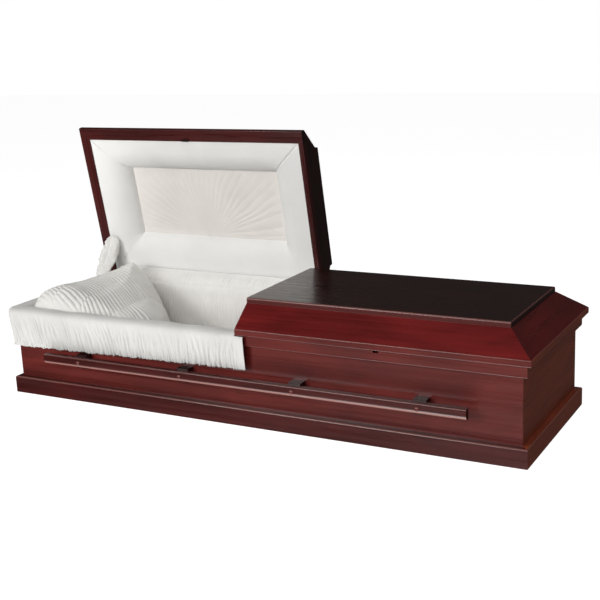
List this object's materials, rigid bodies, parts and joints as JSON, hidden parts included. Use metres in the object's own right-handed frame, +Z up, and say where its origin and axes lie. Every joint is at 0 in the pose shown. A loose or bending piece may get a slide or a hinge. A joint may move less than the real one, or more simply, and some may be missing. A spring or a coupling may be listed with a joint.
{
  "type": "funeral casket",
  "caption": "Half-couch wood casket with a moulded base, sloping-sided hinged lids over head and foot, fixed handle bars and a pleated cloth interior with pillow.",
  "frame": {"origin": "centre of the underside, which is the middle of the bottom board's lower face", "axes": "+X runs along the casket from the head to the foot, -Y faces the front, away from the hinges, +Z is up"},
  "size_m": [2.108, 0.7891, 0.9824],
  "materials": {
    "cherry_lacquer": "satin lacquer over dark cherry stain",
    "dark_stained_wood": "satin dark stain",
    "crepe_lining": "matte off-white crepe, gathered",
    "mattress_cloth": "matte off-white cloth",
    "hinge_steel": "satin, bronzed",
    "catch_bronze": "dark bronze"
  },
  "bodies": {
    "casket": {"base_rail_front": "cherry_lacquer", "base_rail_back": "cherry_lacquer", "base_rail_head": "cherry_lacquer", "base_rail_foot": "cherry_lacquer", "panel_front": "cherry_lacquer", "panel_back": "cherry_lacquer", "panel_head": "cherry_lacquer", "panel_foot": "cherry_lacquer", "band_front": "cherry_lacquer", "band_back": "cherry_lacquer", "band_head": "cherry_lacquer", "band_foot": "cherry_lacquer", "handle_bar_front": "cherry_lacquer", "handle_bar_back": "cherry_lacquer", "bottom_board": "dark_stained_wood", "bar_bracket_front_1": "dark_stained_wood", "bar_bracket_front_2": "dark_stained_wood", "bar_bracket_front_3": "dark_stained_wood", "bar_bracket_front_4": "dark_stained_wood", "bar_bracket_back_1": "dark_stained_wood", "bar_bracket_back_2": "dark_stained_wood", "bar_bracket_back_3": "dark_stained_wood", "bar_bracket_back_4": "dark_stained_wood", "head_hinge_base_leaf": "hinge_steel", "head_hinge_pin": "hinge_steel", "foot_hinge_base_leaf": "hinge_steel", "foot_hinge_pin": "hinge_steel", "mattress": "mattress_cloth", "pillow": "crepe_lining", "body_lining": "crepe_lining", "overlay": "crepe_lining", "hinge_cover": "crepe_lining", "stay_cover": "crepe_lining"},
    "head_lid": {"head_lid_rail_front": "cherry_lacquer", "head_lid_rail_back": "cherry_lacquer", "head_lid_rail_end": "cherry_lacquer", "head_lid_rail_division": "cherry_lacquer", "head_lid_slope_front": "cherry_lacquer", "head_lid_slope_back": "cherry_lacquer", "head_lid_slope_end": "cherry_lacquer", "head_lid_division_board": "cherry_lacquer", "head_lid_top": "cherry_lacquer", "head_lid_catch": "catch_bronze", "head_hinge_lid_leaf": "hinge_steel", "head_lid_lining": "crepe_lining", "head_lid_centre_panel": "crepe_lining"},
    "foot_lid": {"foot_lid_rail_front": "cherry_lacquer", "foot_lid_rail_back": "cherry_lacquer", "foot_lid_rail_end": "cherry_lacquer", "foot_lid_rail_division": "cherry_lacquer", "foot_lid_slope_front": "cherry_lacquer", "foot_lid_slope_back": "cherry_lacquer", "foot_lid_slope_end": "cherry_lacquer", "foot_lid_division_board": "cherry_lacquer", "foot_lid_top": "cherry_lacquer", "foot_lid_catch": "catch_bronze", "foot_hinge_lid_leaf": "hinge_steel", "foot_lid_lining": "crepe_lining"}
  },
  "joints": [
    {"name": "head_lid_hinge", "type": "hinge", "parent": "casket", "child": "head_lid", "pos_m": [0, 0.3215, 0.327], "axis": [-1, 0, 0], "range_deg": [-79.6, 0], "deforming": ["overlay", "pillow", "hinge_cover", "stay_cover"]},
    {"name": "foot_lid_hinge", "type": "hinge", "parent": "casket", "child": "foot_lid", "pos_m": [0, 0.3215, 0.327], "axis": [-1, 0, 0], "range_deg": [0, 79.6]}
  ]
}
